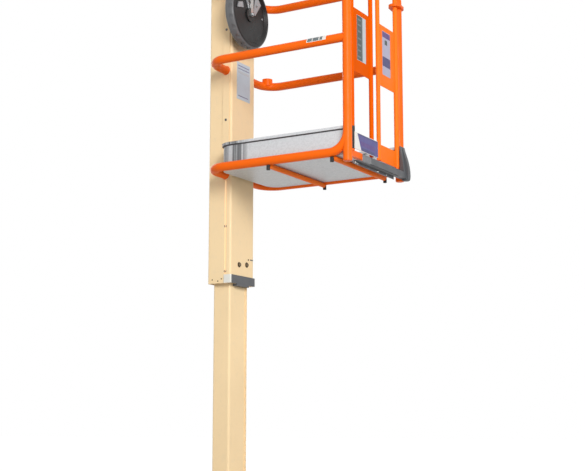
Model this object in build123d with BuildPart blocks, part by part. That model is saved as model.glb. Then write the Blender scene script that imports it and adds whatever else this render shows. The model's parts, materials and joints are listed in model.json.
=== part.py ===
"""Vertical mast lift for one person, shown with its platform raised.

Millimetres. Z is up, X points from the mast towards the entry gates, and Y runs across.
The origin is on the floor, under the middle of the base.
"""

import os

from build123d import *

os.makedirs("parts", exist_ok=True)

# Clearances
SEAT = 0.3  # still pieces that seat on a curved face, and pads on what they slide along
PIN_PLAY = 0.05  # radial play of a turning pin or axle in its bore
SLIDE_PLAY = 0.5  # between a slider and the slot that it runs in
RUN = 5.0  # between pieces that move past each other

# Base
BASE_LENGTH = 1280.0
BASE_WIDTH = 700.0
RAIL_HEIGHT = 60.0
RAIL_WIDTH = 50.0
RAIL_BOTTOM = 165.0
RAIL_INSET = 25.0  # rear end of the rails inside the overall length
RAIL_CORNER = 6.0
CROSS_WIDTH = 80.0
FOOT_PLATE_THICK = 12.0
REST_SIZE = 50.0
REST_PLATE_THICK = 8.0

# Wheels
REAR_TYRE_R = 100.0
REAR_TYRE_WIDTH = 45.0
REAR_RIM_R = 76.0
REAR_AXLE_R = 10.0
REAR_HUB_R = 24.0
REAR_WHEEL_GAP = 35.0  # rail to tyre
AXLE_PLATE_THICK = 10.0
AXLE_PLATE_TOP = 120.0
AXLE_PLATE_FOOT = 50.0
AXLE_COLLAR_R = 16.0
AXLE_PLATE_EDGE = 6.0  # plate below the collar
FRONT_TYRE_R = 62.5
FRONT_TYRE_WIDTH = 38.0
FRONT_RIM_R = 46.0
FRONT_AXLE_R = 6.0
FRONT_HUB_R = 16.0
RIM_RING = 8.0
RIM_WEB = 12.0
RIM_HOLES = 5
TYRE_ROUND = 9.0
CASTOR_SETBACK = 115.0  # swivel axis behind the front end of the base
CASTOR_TRAIL = 38.0
CASTOR_PLATE = 100.0
CASTOR_PLATE_THICK = 6.0
CASTOR_PLATE_HOLE_R = 5.5
CASTOR_PLATE_HOLES = 76.0
CASTOR_RACE_R = 32.0
CASTOR_STEM_R = 10.0
CASTOR_CROWN_THICK = 9.0
FORK_THICK = 5.0
FORK_NOSE_R = 14.0

# Mast
MAST_FRONT_X = -300.0  # front face of the outer column
OUTER_WIDTH = 242.0
OUTER_DEPTH = 154.0
OUTER_WALL = 5.0
OUTER_LENGTH = 1682.0
COLUMN_CORNER = 12.0
SLOT_MOUTH = 10.0  # the slot down each side, in which the cage's sliders run
SLOT_LIP = 4.0
SLOT_WIDTH = 26.0
SLOT_DEPTH = 12.0
SLOT_WALL = 4.0
INNER_WIDTH = 179.0
INNER_DEPTH = 112.5
INNER_WALL = 5.0
INNER_SETBACK = 22.6  # front face of the outer column to that of the inner one
INNER_TOP = 1900.0
CAP_THICK = 12.0
LATCH_PITCH = 40.0
LATCH_WIDTH = 14.0
LATCH_THICK = 4.0
LATCH_HOLE_HEIGHT = 18.0
LATCH_HOLE_WIDTH = 7.0
LATCH_EDGE = 9.0
LATCH_END = 60.0
PAD_LENGTH = 100.0
PAD_WIDTH = 100.0
SIDE_PAD_WIDTH = 50.0
PAD_END = 20.0
GUIDE_HEIGHT = 47.0
GUIDE_DROP = 12.0
GUIDE_WALL = 7.0
GUIDE_RETURN = 40.0

# Raised position
PLATFORM_Z = 2180.0  # centre line of the bottom tubes
OUTER_BOTTOM_BELOW = 614.0  # that line to the bottom edge of the outer column
OUTER_STROKE = 1320.0
CAGE_STROKE = 460.0

# Cage
TUBE_R = 24.0
TUBE_BEND = 110.0
CAGE_WIDTH = 623.0  # between the centre lines of the side tubes
POST_REACH = 843.0  # front face of the outer column to the posts' centre lines
HOOK_BACK = 36.0  # that face to the slots, and to the centre line of the tubes' inward ends
MID_RAIL = 611.0
TOP_RAIL = 1095.0
CROSS_BAR_R = 14.0
CROSS_BAR_REACH = 363.0
FRONT_BAR_REACH = 751.0
FOOT_R = 10.0
FOOT_HEIGHT = 26.0
SILL_HEIGHT = 33.0
SILL_DEPTH = 24.0
STUB_BELOW = 52.0  # the posts' lower ends below the bottom tubes' centre line
BOSS_R = 31.0
BOSS_TOP = 43.0
BOSS_Y = 36.0  # in from the side tubes' centre line

# Tray
TRAY_START = 22.0
TRAY_FLOOR = -10.0  # above the bottom tubes' centre line
TRAY_TOP = 140.0
TRAY_WALL = 2.5
TRAY_CORNER = 80.0
TRAY_LIP_HEIGHT = 14.0
TRAY_LIP_DEPTH = 9.0
TRAY_SIDE_GAP = 1.0

# Sliders, drive and hand wheel
SLIDER_BELOW = 30.0
SLIDER_ABOVE = 1135.0
SLIDER_PLATE_WIDTH = 46.0
SLIDER_PLATE_THICK = 5.5
BRACKET_HEIGHT = 70.0
BRACKET_THICK = 6.0
HOUSING_WIDTH = 110.0
HOUSING_HEIGHT = 300.0
HOUSING_DEPTH = 27.0
HOUSING_CORNER = 20.0
WHEEL_SHAFT_R = 10.0
WHEEL_R = 196.0
WHEEL_DEPTH = 62.0
WHEEL_Y = -79.0
WHEEL_Z = 934.0  # above the bottom tubes' centre line
WHEEL_ROUND = 20.0
WHEEL_DISH = 14.0
WHEEL_RIM = 26.0
WHEEL_HUB_R = 40.0
WHEEL_HUB_RISE = 8.0
WHEEL_LOBES = 20
WHEEL_LOBE_BAND = 30.0
WHEEL_LOBE_CUT_R = 30.0
WHEEL_LOBE_DEPTH = 4.0
CRANK_RADIUS = 120.0
CRANK_ARM_WIDTH = 26.0
CRANK_ARM_THICK = 9.0
CRANK_GRIP_R = 15.0
CRANK_GRIP_LENGTH = 100.0

# Gates
GATE_OUT = 4.0  # the gates' tubes in front of the posts' centre lines
HINGE_TUBE_R = 13.5
FREE_TUBE_R = 12.0
FREE_Y = 43.0
GATE_BOTTOM = 16.0
GATE_TOP = 1085.0
GATE_BEND = 60.0
BOARD_GAP = 7.0  # end of the near gate's board to the far gate
PANEL_THICK = 3.0
PANEL_BOTTOM = 442.0
PANEL_TOP = 793.0
KICK_TOP = 107.0
BOARD_THICK = 3.0
COLLAR_Z = 955.0
COLLAR_R = 36.0
COLLAR_THICK = 15.0
HINGE_PIN_R = 6.0
HINGE_PIN_UP = 60.0

# Moulded bar along the front of the sill
BUMPER_NEAR = -168.0
BUMPER_FAR = 320.0
BUMPER_NOSE = -10.0
BUMPER_BOTTOM = -45.0
BUMPER_DEPTH = 36.0
BUMPER_TAPER = 30.0
FIN_TOP = 138.0
FIN_TIP = 4.0
FIN_THICK = 24.0
FIN_INSET = 30.0

# Worked out from the above
rail_top = RAIL_BOTTOM + RAIL_HEIGHT
rail_y = BASE_WIDTH / 2 - REAR_TYRE_WIDTH - REAR_WHEEL_GAP - RAIL_WIDTH / 2
rear_axle_x = REAR_TYRE_R - BASE_LENGTH / 2
castor_x = BASE_LENGTH / 2 - CASTOR_SETBACK
outer_back_x = MAST_FRONT_X - OUTER_DEPTH
outer_x = MAST_FRONT_X - OUTER_DEPTH / 2
outer_bottom = PLATFORM_Z - OUTER_BOTTOM_BELOW
outer_top = outer_bottom + OUTER_LENGTH
inner_front_x = MAST_FRONT_X - INNER_SETBACK
inner_x = inner_front_x - INNER_DEPTH / 2
hook_x = MAST_FRONT_X - HOOK_BACK
slider_in = OUTER_WIDTH / 2 + SLIDE_PLAY
hook_y = slider_in + SLIDER_PLATE_THICK
side_y = CAGE_WIDTH / 2
post_x = MAST_FRONT_X + POST_REACH
gate_x = post_x + GATE_OUT
hinge_y = side_y - TUBE_R - RUN - HINGE_TUBE_R
sill_top = PLATFORM_Z - TUBE_R + SILL_HEIGHT
gate_bottom_z = PLATFORM_Z + GATE_BOTTOM
SIDES = (("near", -1), ("far", 1))
FEET_REACHES = (CROSS_BAR_REACH, FRONT_BAR_REACH)


def save(part, name):
    """Labels a finished piece and writes it as its own file."""
    part.label = name
    export_step(part, f"parts/{name}.step")


# Base frame: two rails, cross members, and the rests for the lowered platform
rail_length = BASE_LENGTH - RAIL_INSET
cross_span = 2 * rail_y - RAIL_WIDTH
rest_top = PLATFORM_Z - OUTER_STROKE - CAGE_STROKE - TUBE_R - SEAT - FOOT_HEIGHT - RUN
rest_post_top = rest_top - REST_PLATE_THICK
CROSS_MEMBERS = (  # centre x, width along x
    (-BASE_LENGTH / 2 + RAIL_INSET + CROSS_WIDTH / 2, CROSS_WIDTH),
    (inner_x - (INNER_DEPTH + CROSS_WIDTH) / 2, CROSS_WIDTH),
    (inner_x + (INNER_DEPTH + CROSS_WIDTH) / 2, CROSS_WIDTH),
    (castor_x, CASTOR_PLATE),
)
with BuildPart() as base_frame:
    for name, side in SIDES:
        with BuildSketch(Plane.YZ.offset(-BASE_LENGTH / 2 + RAIL_INSET)):
            with Locations((side * rail_y, RAIL_BOTTOM + RAIL_HEIGHT / 2)):
                RectangleRounded(RAIL_WIDTH, RAIL_HEIGHT, RAIL_CORNER)
        extrude(amount=rail_length)
    for cross_x, cross_width in CROSS_MEMBERS:
        with BuildSketch(Plane.XY.offset(RAIL_BOTTOM)):
            with Locations((cross_x, 0)):
                Rectangle(cross_width, cross_span)
        extrude(amount=RAIL_HEIGHT)
    for reach in FEET_REACHES:
        for name, side in SIDES:
            with BuildSketch(Plane.XY.offset(rail_top)):
                with Locations((MAST_FRONT_X + reach, side * rail_y)):
                    Rectangle(REST_SIZE, RAIL_WIDTH - 2 * RAIL_CORNER)
            extrude(amount=rest_post_top - rail_top)
            with BuildSketch(Plane.XY.offset(rest_post_top)):
                with Locations((MAST_FRONT_X + reach, side * (rail_y + side_y) / 2)):
                    Rectangle(REST_SIZE, side_y - rail_y + 2 * FOOT_R)
            extrude(amount=REST_PLATE_THICK)
save(base_frame.part, "base_frame")

with BuildPart() as mast_foot:
    with BuildSketch(Plane.XY.offset(RAIL_BOTTOM)):
        with Locations((inner_x, 0)):
            Rectangle(INNER_DEPTH + 2 * CROSS_WIDTH, cross_span)
    extrude(amount=-FOOT_PLATE_THICK)
save(mast_foot.part, "mast_foot")

# Inner column, and the punched strip that the safety latch catches in
with BuildPart() as inner_column:
    with BuildSketch(Plane.XY.offset(RAIL_BOTTOM)):
        with Locations((inner_x, 0)):
            RectangleRounded(INNER_DEPTH, INNER_WIDTH, COLUMN_CORNER)
            RectangleRounded(
                INNER_DEPTH - 2 * INNER_WALL, INNER_WIDTH - 2 * INNER_WALL,
                COLUMN_CORNER - INNER_WALL, mode=Mode.SUBTRACT,
            )
    extrude(amount=INNER_TOP - RAIL_BOTTOM)
save(inner_column.part, "inner_column")

latch_bottom = rail_top + LATCH_END
latch_count = int((INNER_TOP - LATCH_END - latch_bottom) / LATCH_PITCH)
latch_y = INNER_WIDTH / 2 - LATCH_EDGE - LATCH_WIDTH / 2
with BuildPart() as latch_strip:
    with BuildSketch(Plane.YZ.offset(inner_front_x)):
        with Locations((latch_y, latch_bottom + latch_count * LATCH_PITCH / 2)):
            Rectangle(LATCH_WIDTH, latch_count * LATCH_PITCH)
            with GridLocations(1, LATCH_PITCH, 1, latch_count):
                Rectangle(LATCH_HOLE_WIDTH, LATCH_HOLE_HEIGHT, mode=Mode.SUBTRACT)
    extrude(amount=LATCH_THICK)
save(latch_strip.part, "latch_strip")

# Wear pads: one set at the inner column's top, one at the outer column's bottom
pad_gap_y = OUTER_WIDTH / 2 - OUTER_WALL - INNER_WIDTH / 2 - SEAT
pad_gap_front = INNER_SETBACK - OUTER_WALL - SEAT
pad_gap_back = OUTER_DEPTH - INNER_SETBACK - INNER_DEPTH - OUTER_WALL - SEAT
side_pad_x = inner_front_x - INNER_DEPTH + PAD_END + SIDE_PAD_WIDTH / 2
with BuildPart() as top_pads:
    with BuildSketch(Plane.XY.offset(INNER_TOP - PAD_END - PAD_LENGTH)):
        for name, side in SIDES:
            with Locations((side_pad_x, side * (INNER_WIDTH / 2 + pad_gap_y / 2))):
                Rectangle(SIDE_PAD_WIDTH, pad_gap_y)
        with Locations((inner_front_x + pad_gap_front / 2, 0)):
            Rectangle(pad_gap_front, PAD_WIDTH)
        with Locations((inner_front_x - INNER_DEPTH - pad_gap_back / 2, 0)):
            Rectangle(pad_gap_back, PAD_WIDTH)
    extrude(amount=PAD_LENGTH)
save(top_pads.part, "top_pads")

with BuildPart() as side_pads:
    with BuildSketch(Plane.XY.offset(outer_bottom + PAD_END)):
        for name, side in SIDES:
            with Locations((side_pad_x, side * (OUTER_WIDTH / 2 - OUTER_WALL - pad_gap_y / 2))):
                Rectangle(SIDE_PAD_WIDTH, pad_gap_y)
        with Locations((outer_back_x + OUTER_WALL + pad_gap_back / 2, 0)):
            Rectangle(pad_gap_back, PAD_WIDTH)
    extrude(amount=PAD_LENGTH)
save(side_pads.part, "side_pads")


# Outer column: a closed section with an undercut slot down each side
def outer_section(hollow):
    """The outer column's section, as a tube or filled for its cap."""
    slot_box = SLOT_LIP + SLOT_DEPTH + SLOT_WALL
    with BuildSketch(Plane.XY) as section:
        with Locations((outer_x, 0)):
            RectangleRounded(OUTER_DEPTH, OUTER_WIDTH, COLUMN_CORNER)
            if hollow:
                RectangleRounded(
                    OUTER_DEPTH - 2 * OUTER_WALL, OUTER_WIDTH - 2 * OUTER_WALL,
                    COLUMN_CORNER - OUTER_WALL, mode=Mode.SUBTRACT,
                )
        for name, side in SIDES:
            if hollow:
                box_width = SLOT_WIDTH + 2 * SLOT_WALL
                with Locations((hook_x, side * (OUTER_WIDTH - OUTER_WALL - slot_box) / 2)):
                    Rectangle(box_width, slot_box - OUTER_WALL)
            with Locations((hook_x, side * (OUTER_WIDTH / 2 - SLOT_LIP - SLOT_DEPTH / 2))):
                Rectangle(SLOT_WIDTH, SLOT_DEPTH, mode=Mode.SUBTRACT)
            with Locations((hook_x, side * (OUTER_WIDTH - SLOT_LIP) / 2)):
                Rectangle(SLOT_MOUTH, SLOT_LIP, mode=Mode.SUBTRACT)
    return section.sketch


with BuildPart() as outer_column:
    with BuildSketch(Plane.XY.offset(outer_bottom)):
        add(outer_section(hollow=True))
    extrude(amount=OUTER_LENGTH)
save(outer_column.part, "outer_column")

with BuildPart() as mast_cap:
    with BuildSketch(Plane.XY.offset(outer_top)):
        add(outer_section(hollow=False))
    extrude(amount=CAP_THICK)
save(mast_cap.part, "mast_cap")

# Guide across the outer column's lower front edge, bearing on the inner column, between two cheeks
guide_bottom = outer_bottom - GUIDE_DROP
bearing_half = latch_y - LATCH_WIDTH / 2 - RUN
with BuildPart() as guide_block:
    with BuildSketch(Plane.XY.offset(outer_bottom)):
        with Locations((MAST_FRONT_X - (COLUMN_CORNER - GUIDE_WALL) / 2, 0)):
            Rectangle(COLUMN_CORNER + GUIDE_WALL, OUTER_WIDTH)
        with Locations((outer_x, 0)):
            RectangleRounded(OUTER_DEPTH, OUTER_WIDTH, COLUMN_CORNER, mode=Mode.SUBTRACT)
    extrude(amount=GUIDE_HEIGHT)
    with BuildSketch(Plane.XY.offset(guide_bottom)):
        with Locations((MAST_FRONT_X - (INNER_SETBACK - SEAT - GUIDE_WALL) / 2, 0)):
            Rectangle(INNER_SETBACK - SEAT + GUIDE_WALL, 2 * bearing_half)
    extrude(amount=GUIDE_DROP)
save(guide_block.part, "guide_block")

with BuildPart() as guide_cheeks:
    for name, side in SIDES:
        with BuildSketch(Plane.XY.offset(outer_bottom)):
            with Locations((MAST_FRONT_X - (GUIDE_RETURN - GUIDE_WALL) / 2, side * (OUTER_WIDTH + GUIDE_WALL) / 2)):
                Rectangle(GUIDE_RETURN + GUIDE_WALL, GUIDE_WALL)
        extrude(amount=GUIDE_HEIGHT)
    fillet(guide_cheeks.edges().filter_by(Axis.Z).group_by(Axis.X)[-1].group_by(Axis.Y)[0], GUIDE_WALL - 1)
    fillet(guide_cheeks.edges().filter_by(Axis.Z).group_by(Axis.X)[-1].group_by(Axis.Y)[-1], GUIDE_WALL - 1)
save(guide_cheeks.part, "guide_cheeks")

# Sliders that run in the outer column's slots and carry the cage
slider_bottom = PLATFORM_Z - SLIDER_BELOW
slider_length = SLIDER_BELOW + SLIDER_ABOVE
slot_floor = OUTER_WIDTH / 2 - SLOT_LIP - SLOT_DEPTH
for name, side in SIDES:
    with BuildPart() as slider:
        with BuildSketch(Plane.XY.offset(slider_bottom)):
            with Locations((hook_x, side * (slot_floor + SLOT_DEPTH / 2))):
                Rectangle(SLOT_WIDTH - 2 * SLIDE_PLAY, SLOT_DEPTH - 2 * SLIDE_PLAY)
            with Locations((hook_x, side * (slot_floor + SLOT_DEPTH / 2 + slider_in) / 2)):
                Rectangle(SLOT_MOUTH - 2 * SLIDE_PLAY, slider_in - slot_floor - SLOT_DEPTH / 2)
            with Locations((hook_x, side * (slider_in + SLIDER_PLATE_THICK / 2))):
                Rectangle(SLIDER_PLATE_WIDTH, SLIDER_PLATE_THICK)
        extrude(amount=slider_length)
    save(slider.part, f"{name}_slider")

# Drive bracket across the sliders' tops, and the housing that hangs from it behind the hand wheel
slider_top = slider_bottom + slider_length
bracket_back_x = hook_x - SLIDER_PLATE_WIDTH / 2
bracket_front_x = MAST_FRONT_X + RUN + BRACKET_THICK
with BuildPart() as drive_bracket:
    with BuildSketch(Plane.XY.offset(slider_top - BRACKET_HEIGHT)):
        with Locations(((bracket_back_x + bracket_front_x) / 2, 0)):
            Rectangle(bracket_front_x - bracket_back_x, 2 * (hook_y + BRACKET_THICK))
        with Locations(((bracket_back_x + bracket_front_x) / 2 - BRACKET_THICK, 0)):
            Rectangle(bracket_front_x - bracket_back_x, 2 * hook_y, mode=Mode.SUBTRACT)
    extrude(amount=BRACKET_HEIGHT)
    for name, side in SIDES:
        with BuildSketch(Plane.XZ.offset(-side * (hook_y + BRACKET_THICK))):
            with Locations((hook_x, PLATFORM_Z + TOP_RAIL)):
                Circle(TUBE_R + SEAT)
        extrude(amount=side * BRACKET_THICK, mode=Mode.SUBTRACT)
save(drive_bracket.part, "drive_bracket")

with BuildPart() as drive_housing:
    with BuildSketch(Plane.YZ.offset(bracket_front_x)):
        with Locations((WHEEL_Y, slider_top - HOUSING_HEIGHT / 2)):
            RectangleRounded(HOUSING_WIDTH, HOUSING_HEIGHT, HOUSING_CORNER)
    extrude(amount=HOUSING_DEPTH)
    fillet(drive_housing.faces().sort_by(Axis.X)[-1].edges(), 5)
save(drive_housing.part, "drive_housing")

housing_front = bracket_front_x + HOUSING_DEPTH
wheel_back = housing_front + RUN
wheel_front = wheel_back + WHEEL_DEPTH
crank_back = wheel_front - WHEEL_DISH + WHEEL_HUB_RISE
wheel_centre = (WHEEL_Y, PLATFORM_Z + WHEEL_Z)
with BuildPart() as wheel_shaft:
    with BuildSketch(Plane.YZ.offset(housing_front)):
        with Locations(wheel_centre):
            Circle(WHEEL_SHAFT_R)
    extrude(amount=crank_back + CRANK_ARM_THICK - housing_front)
save(wheel_shaft.part, "wheel_shaft")

# Hand wheel: a deep moulded disc with a rounded rim, a dished face and finger lobes
z0 = PLATFORM_Z + WHEEL_Z
axle_line = Axis((0, WHEEL_Y, z0), (1, 0, 0))
bore_r = WHEEL_SHAFT_R + PIN_PLAY
back_low = (wheel_back, z0 + WHEEL_R - WHEEL_ROUND)
back_high = (wheel_back + WHEEL_ROUND, z0 + WHEEL_R)
front_high = (wheel_front - WHEEL_ROUND, z0 + WHEEL_R)
front_low = (wheel_front, z0 + WHEEL_R - WHEEL_ROUND)
dish_r = WHEEL_R - WHEEL_RIM - WHEEL_DISH
with BuildPart() as hand_wheel:
    with BuildSketch(Plane.XZ.offset(-WHEEL_Y)):
        with BuildLine():
            Line((wheel_back, z0 + bore_r), back_low)
            RadiusArc(back_low, back_high, WHEEL_ROUND)
            Line(back_high, front_high)
            RadiusArc(front_high, front_low, WHEEL_ROUND)
            Polyline(
                front_low,
                (wheel_front, z0 + dish_r + WHEEL_DISH),
                (wheel_front - WHEEL_DISH, z0 + dish_r),
                (wheel_front - WHEEL_DISH, z0 + WHEEL_HUB_R),
                (crank_back, z0 + WHEEL_HUB_R),
                (crank_back, z0 + bore_r),
                (wheel_back, z0 + bore_r),
            )
        make_face()
    revolve(axis=axle_line)
    with BuildSketch(Plane.YZ.offset(wheel_front)):
        with Locations(wheel_centre):
            with PolarLocations(WHEEL_R + WHEEL_LOBE_CUT_R - WHEEL_LOBE_DEPTH, WHEEL_LOBES):
                Circle(WHEEL_LOBE_CUT_R)
    extrude(amount=-WHEEL_LOBE_BAND, mode=Mode.SUBTRACT)
save(hand_wheel.part, "hand_wheel")

# Crank: a flat arm from the shaft's end to a turning grip
crank_end = (WHEEL_Y, PLATFORM_Z + WHEEL_Z + CRANK_RADIUS)
with BuildPart() as crank_handle:
    with BuildSketch(Plane.YZ.offset(crank_back)):
        with Locations((WHEEL_Y, PLATFORM_Z + WHEEL_Z + CRANK_RADIUS / 2)):
            SlotCenterToCenter(CRANK_RADIUS, CRANK_ARM_WIDTH, rotation=90)
        with Locations(wheel_centre):
            Circle(bore_r, mode=Mode.SUBTRACT)
    extrude(amount=CRANK_ARM_THICK)
    with BuildSketch(Plane.YZ.offset(crank_back + CRANK_ARM_THICK)):
        with Locations(crank_end):
            Circle(CRANK_GRIP_R)
    extrude(amount=CRANK_GRIP_LENGTH)
    fillet(crank_handle.faces().sort_by(Axis.X)[-1].edges(), 6)
save(crank_handle.part, "crank_handle")

# Cage sides: one tube from the mast along the floor, up the post and back along the top
for name, side in SIDES:
    start = (hook_x, side * hook_y, PLATFORM_Z)
    with BuildPart() as side_loop:
        with BuildLine():
            FilletPolyline(
                start,
                (hook_x, side * side_y, PLATFORM_Z),
                (post_x, side * side_y, PLATFORM_Z),
                (post_x, side * side_y, PLATFORM_Z + TOP_RAIL),
                (hook_x, side * side_y, PLATFORM_Z + TOP_RAIL),
                (hook_x, side * hook_y, PLATFORM_Z + TOP_RAIL),
                radius=TUBE_BEND,
            )
        with BuildSketch(Plane(start, z_dir=(0, side, 0))):
            Circle(TUBE_R)
        sweep()
        with BuildSketch(Plane.XY.offset(PLATFORM_Z - STUB_BELOW)):
            with Locations((post_x, side * side_y)):
                Circle(TUBE_R)
        extrude(amount=TUBE_BEND + STUB_BELOW)
    save(side_loop.part, f"{name}_side_loop")

    rail_start = (hook_x, side * hook_y, PLATFORM_Z + MID_RAIL)
    with BuildPart() as mid_rail:
        with BuildLine():
            FilletPolyline(
                rail_start,
                (hook_x, side * side_y, PLATFORM_Z + MID_RAIL),
                (post_x, side * side_y, PLATFORM_Z + MID_RAIL),
                radius=TUBE_BEND,
            )
        with BuildSketch(Plane(rail_start, z_dir=(0, side, 0))):
            Circle(TUBE_R)
        sweep()
        with BuildSketch(Plane.XY.offset(PLATFORM_Z + MID_RAIL - 2 * TUBE_R)):
            with Locations((post_x, side * side_y)):
                Circle(TUBE_R + SEAT)
        extrude(amount=4 * TUBE_R, mode=Mode.SUBTRACT)
        if side > 0:
            bend_in = TUBE_BEND - BOSS_Y
            boss_x = hook_x + TUBE_BEND - (TUBE_BEND**2 - bend_in**2) ** 0.5
            with BuildSketch(Plane.XY.offset(PLATFORM_Z + MID_RAIL)):
                with Locations((boss_x, side_y - BOSS_Y)):
                    Circle(BOSS_R)
            extrude(amount=BOSS_TOP)
    save(mid_rail.part, f"{name}_mid_rail")

for name, reach in (("cross_bar", CROSS_BAR_REACH), ("front_bar", FRONT_BAR_REACH)):
    with BuildPart() as bar:
        bar_half = side_y - FOOT_R - SEAT
        with BuildSketch(Plane.XZ.offset(-bar_half)):
            with Locations((MAST_FRONT_X + reach, PLATFORM_Z + TRAY_FLOOR - TRAY_WALL - SEAT - CROSS_BAR_R)):
                Circle(CROSS_BAR_R)
        extrude(amount=2 * bar_half)
        for side in (-1, 1):
            with BuildSketch(Plane.YZ.offset(MAST_FRONT_X + reach - 40)):
                with Locations((side * side_y, PLATFORM_Z)):
                    Circle(TUBE_R + SEAT)
            extrude(amount=80, mode=Mode.SUBTRACT)
    save(bar.part, name)

with BuildPart() as rubber_feet:
    for reach in FEET_REACHES:
        for name, side in SIDES:
            with BuildSketch(Plane.XY.offset(PLATFORM_Z - TUBE_R - SEAT)):
                with Locations((MAST_FRONT_X + reach, side * side_y)):
                    Circle(FOOT_R)
            extrude(amount=-FOOT_HEIGHT)
save(rubber_feet.part, "rubber_feet")

# Tray: floor with toe boards on three sides and a lip turned outwards along their top
tray_half = side_y - TUBE_R - TRAY_SIDE_GAP
tray_x0 = MAST_FRONT_X + TRAY_START
tray_x1 = post_x - SILL_DEPTH / 2 - SEAT


def tray_outline(inset):
    """The pan's plan with its mast-end corners rounded, open towards the gates."""
    half = tray_half - inset
    radius = TRAY_CORNER - inset
    x0 = tray_x0 + inset
    with BuildSketch(Plane.XY) as outline:
        with BuildLine():
            Line((tray_x1, -half), (x0 + radius, -half))
            RadiusArc((x0 + radius, -half), (x0, -half + radius), radius)
            Line((x0, -half + radius), (x0, half - radius))
            RadiusArc((x0, half - radius), (x0 + radius, half), radius)
            Line((x0 + radius, half), (tray_x1, half))
            Line((tray_x1, half), (tray_x1, -half))
        make_face()
    return outline.sketch


with BuildPart() as tray:
    with BuildSketch(Plane.XY.offset(PLATFORM_Z + TRAY_FLOOR - TRAY_WALL)):
        add(tray_outline(0))
    extrude(amount=TRAY_TOP - TRAY_FLOOR + TRAY_WALL)
    with BuildSketch(Plane.XY.offset(PLATFORM_Z + TRAY_TOP - TRAY_LIP_HEIGHT)):
        add(tray_outline(-TRAY_LIP_DEPTH))
    extrude(amount=TRAY_LIP_HEIGHT)
    with BuildSketch(Plane.XY.offset(PLATFORM_Z + TRAY_FLOOR)):
        add(tray_outline(TRAY_WALL))
    extrude(amount=TRAY_TOP - TRAY_FLOOR, mode=Mode.SUBTRACT)
    with BuildSketch(Plane.XY.offset(PLATFORM_Z + TRAY_TOP - TRAY_LIP_HEIGHT)):
        with Locations((MAST_FRONT_X, 0)):
            Rectangle(2 * RUN, 2 * side_y)
        for name, side in SIDES:
            with Locations((post_x, side * side_y)):
                Circle(TUBE_R + SEAT)
    extrude(amount=TRAY_LIP_HEIGHT, mode=Mode.SUBTRACT)
save(tray.part, "tray")

# Front sill between the posts, with a boss and pin for the foot of each gate
with BuildPart() as sill:
    sill_half = side_y - TUBE_R - SEAT
    lug_top = gate_bottom_z - SEAT
    with BuildSketch(Plane.XZ.offset(-sill_half)):
        with Locations((post_x, sill_top - SILL_HEIGHT / 2)):
            Rectangle(SILL_DEPTH, SILL_HEIGHT)
    extrude(amount=2 * sill_half)
    for radius, top in ((HINGE_TUBE_R, lug_top), (HINGE_PIN_R, lug_top + HINGE_PIN_UP)):
        with BuildSketch(Plane.XY.offset(sill_top)):
            for name, side in SIDES:
                with Locations((gate_x, side * hinge_y)):
                    Circle(radius)
        extrude(amount=top - sill_top)
save(sill.part, "front_sill")

# Dark moulded bar along the sill's face, with a fin that rises in front of the far gate's hinge
bumper_x = post_x + SILL_DEPTH / 2
nose_x = bumper_x + BUMPER_DEPTH
bottom_z = PLATFORM_Z + BUMPER_BOTTOM
with BuildPart() as sill_bar:
    with BuildSketch(Plane.XZ.offset(-BUMPER_FAR)):
        with BuildLine():
            Polyline(
                (bumper_x, bottom_z),
                (bumper_x, sill_top),
                (nose_x, PLATFORM_Z + BUMPER_NOSE),
                (nose_x, bottom_z),
                close=True,
            )
        make_face()
    extrude(amount=BUMPER_FAR - BUMPER_NEAR)
    with BuildSketch(Plane.XY.offset(bottom_z)):
        with BuildLine():
            Polyline(
                (bumper_x, BUMPER_NEAR),
                (nose_x, BUMPER_NEAR),
                (nose_x, BUMPER_NEAR + BUMPER_TAPER),
                close=True,
            )
        make_face()
    extrude(amount=sill_top - bottom_z, mode=Mode.SUBTRACT)
    with BuildSketch(Plane.XZ.offset(-BUMPER_FAR + FIN_INSET)):
        with BuildLine():
            fin_x = gate_x + HINGE_TUBE_R + RUN
            Polyline(
                (fin_x, bottom_z),
                (fin_x, PLATFORM_Z + FIN_TOP),
                (fin_x + FIN_TIP, PLATFORM_Z + FIN_TOP),
                (nose_x, PLATFORM_Z + BUMPER_NOSE),
                (nose_x, bottom_z),
                close=True,
            )
        make_face()
    extrude(amount=FIN_THICK)
    with BuildSketch(Plane.XY.offset(bottom_z)):
        with Locations((post_x, side_y)):
            Circle(TUBE_R + SEAT)
    extrude(amount=FIN_TOP - BUMPER_BOTTOM, mode=Mode.SUBTRACT)
save(sill_bar.part, "sill_bar")

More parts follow.
